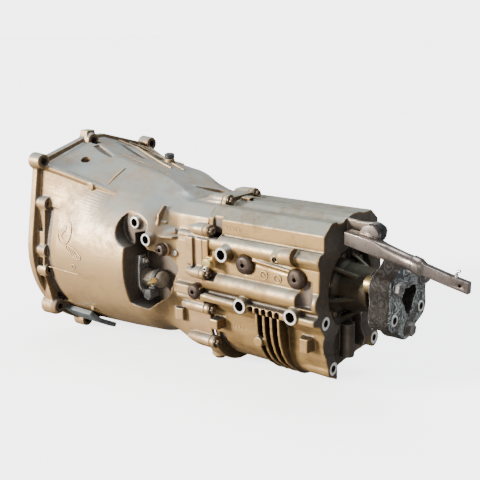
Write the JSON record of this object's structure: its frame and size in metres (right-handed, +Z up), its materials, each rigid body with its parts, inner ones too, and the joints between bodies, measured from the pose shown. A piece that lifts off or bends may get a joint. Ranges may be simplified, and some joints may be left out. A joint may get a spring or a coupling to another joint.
{
  "type": "manual transmission",
  "caption": "Longitudinal manual gearbox with a flared bell housing, ribbed gear case, clutch slave cylinder, lobed rubber output coupling and rear shift arm.",
  "frame": {"origin": "middle of the overall length and width, on the plane the lowest bell lugs stand on", "axes": "+X rearwards from the engine face to the coupling disc, +Y to the side away from the slave cylinder, +Z up"},
  "size_m": [0.785, 0.332, 0.3763],
  "materials": {
    "bell_casting": "sand-cast, grey-beige with cooler grey top",
    "case_casting": "cast, brown oil-stained",
    "alloy": "satin",
    "steel": "satin",
    "gear_steel": "ground",
    "zinc": "zinc plated",
    "brown_plug": "dark oxide",
    "brass": "aged",
    "rubber": "matt",
    "disc_rubber": "mottled grey-green",
    "black_plastic": "matt"
  },
  "bodies": {
    "case": {"bell_housing": "bell_casting", "rear_case": "case_casting", "tail_housing": "case_casting", "release_guide_tube": "alloy", "slave_cylinder": "black_plastic", "slave_nut_upper": "zinc", "slave_nut_lower": "zinc", "hydraulic_pipe": "brass", "pivot_ball": "steel", "front_bearing": "steel", "main_rear_bearing": "steel", "counter_front_bearing": "steel", "counter_rear_bearing": "steel", "input_seal": "rubber", "output_seal": "rubber", "selector_seal": "rubber", "reverse_idler_shaft": "steel", "arm_pin": "zinc", "detent_plug_front": "brown_plug", "detent_plug_rear": "brown_plug", "fill_plug": "brown_plug", "drain_plug": "brown_plug", "reverse_light_switch": "brass", "breather_cap": "black_plastic", "case_bolt_top": "zinc", "case_bolt_shoulder": "zinc", "case_bolt_side": "zinc", "case_bolt_lower": "zinc"},
    "input": {"input_shaft": "gear_steel"},
    "countershaft": {"countershaft": "gear_steel"},
    "output": {"main_shaft": "steel", "hub_12": "steel", "hub_34": "steel", "hub_5r": "steel", "output_flange": "steel", "output_nut": "zinc", "flex_disc": "disc_rubber"},
    "first_gear": {"gear_1": "gear_steel"},
    "second_gear": {"gear_2": "gear_steel"},
    "third_gear": {"gear_3": "gear_steel"},
    "fifth_gear": {"gear_5": "gear_steel"},
    "reverse_gear": {"reverse_gear": "gear_steel"},
    "idler": {"reverse_idler": "gear_steel"},
    "sleeve_12": {"sleeve_12": "gear_steel"},
    "sleeve_34": {"sleeve_34": "gear_steel"},
    "sleeve_5r": {"sleeve_5r": "gear_steel"},
    "rail_12": {"rail_12": "steel", "fork_12": "alloy"},
    "rail_34": {"rail_34": "steel", "fork_34": "alloy"},
    "rail_5r": {"rail_5r": "steel", "fork_5r": "alloy"},
    "interlock": {"interlock_sleeve": "steel"},
    "selector": {"selector_shaft": "steel", "selector_finger": "steel"},
    "release_lever": {"release_lever": "steel"},
    "release_bearing": {"release_bearing": "steel"},
    "slave_piston": {"slave_piston": "steel"},
    "shift_arm": {"shift_arm": "alloy", "arm_bush": "rubber"}
  },
  "joints": [
    {"name": "countershaft_spin", "type": "hinge", "parent": "case", "child": "countershaft", "pos_m": [0.0075, 0, 0.08727], "axis": [1, 0, 0], "continuous": true},
    {"name": "input_spin", "type": "hinge", "parent": "case", "child": "input", "pos_m": [-0.1925, 0, 0.16827], "axis": [1, 0, 0], "continuous": true},
    {"name": "output_spin", "type": "hinge", "parent": "case", "child": "output", "pos_m": [0.0575, 0, 0.16827], "axis": [1, 0, 0], "continuous": true},
    {"name": "first_spin", "type": "hinge", "parent": "case", "child": "first_gear", "pos_m": [0.0375, 0, 0.16827], "axis": [1, 0, 0], "continuous": true},
    {"name": "second_spin", "type": "hinge", "parent": "case", "child": "second_gear", "pos_m": [-0.0205, 0, 0.16827], "axis": [1, 0, 0], "continuous": true},
    {"name": "third_spin", "type": "hinge", "parent": "case", "child": "third_gear", "pos_m": [-0.0465, 0, 0.16827], "axis": [1, 0, 0], "continuous": true},
    {"name": "fifth_spin", "type": "hinge", "parent": "case", "child": "fifth_gear", "pos_m": [0.1235, 0, 0.16827], "axis": [1, 0, 0], "continuous": true},
    {"name": "reverse_spin", "type": "hinge", "parent": "case", "child": "reverse_gear", "pos_m": [0.0685, 0, 0.16827], "axis": [1, 0, 0], "continuous": true},
    {"name": "idler_spin", "type": "hinge", "parent": "case", "child": "idler", "pos_m": [0.0685, 0.03637, 0.10509], "axis": [1, 0, 0], "continuous": true},
    {"name": "rail_12_slide", "type": "slide", "parent": "case", "child": "rail_12", "axis": [1, 0, 0], "range_m": [-0.007, 0.007]},
    {"name": "rail_34_slide", "type": "slide", "parent": "case", "child": "rail_34", "axis": [1, 0, 0], "range_m": [-0.007, 0.007]},
    {"name": "rail_5r_slide", "type": "slide", "parent": "case", "child": "rail_5r", "axis": [1, 0, 0], "range_m": [-0.007, 0.007]},
    {"name": "sleeve_12_slide", "type": "slide", "parent": "output", "child": "sleeve_12", "axis": [1, 0, 0], "range_m": [-0.007, 0.007]},
    {"name": "sleeve_34_slide", "type": "slide", "parent": "output", "child": "sleeve_34", "axis": [1, 0, 0], "range_m": [-0.007, 0.007]},
    {"name": "sleeve_5r_slide", "type": "slide", "parent": "output", "child": "sleeve_5r", "axis": [1, 0, 0], "range_m": [-0.007, 0.007]},
    {"name": "selector_turn", "type": "hinge", "parent": "case", "child": "interlock", "pos_m": [-0.0065, 0, 0.26127], "axis": [1, 0, 0], "range_deg": [-25, 25]},
    {"name": "selector_slide", "type": "slide", "parent": "interlock", "child": "selector", "axis": [1, 0, 0], "range_m": [-0.007, 0.007]},
    {"name": "release_lever_swing", "type": "hinge", "parent": "case", "child": "release_lever", "pos_m": [-0.1855, 0.06004, 0.18113], "axis": [0, 0.2095, -0.9778], "range_deg": [0, 7.5]},
    {"name": "release_bearing_slide", "type": "slide", "parent": "case", "child": "release_bearing", "axis": [-1, 0, 0], "range_m": [0, 0.0085]},
    {"name": "slave_piston_slide", "type": "slide", "parent": "case", "child": "slave_piston", "axis": [-1, 0, 0], "range_m": [0, 0.0225]},
    {"name": "shift_arm_swing", "type": "hinge", "parent": "case", "child": "shift_arm", "pos_m": [0.2375, -0.028, 0.26527], "axis": [0, -1, 0], "range_deg": [0, 12]}
  ],
  "couplings": [
    {"joint": "input_spin", "follows": "countershaft_spin", "ratio": -1.3529},
    {"joint": "first_spin", "follows": "countershaft_spin", "ratio": -0.33333},
    {"joint": "second_spin", "follows": "countershaft_spin", "ratio": -0.53846},
    {"joint": "third_spin", "follows": "countershaft_spin", "ratio": -0.81818},
    {"joint": "fifth_spin", "follows": "countershaft_spin", "ratio": -1.6667},
    {"joint": "idler_spin", "follows": "countershaft_spin", "ratio": -1},
    {"joint": "reverse_spin", "follows": "countershaft_spin", "ratio": 0.38462},
    {"joint": "sleeve_12_slide", "follows": "rail_12_slide", "ratio": 1},
    {"joint": "sleeve_5r_slide", "follows": "rail_5r_slide", "ratio": 1},
    {"joint": "rail_34_slide", "follows": "selector_slide", "ratio": 1},
    {"joint": "sleeve_34_slide", "follows": "selector_slide", "ratio": 1},
    {"joint": "release_bearing_slide", "follows": "release_lever_swing", "m_per_rad": 0.0614},
    {"joint": "slave_piston_slide", "follows": "release_lever_swing", "m_per_rad": 0.1616}
  ]
}
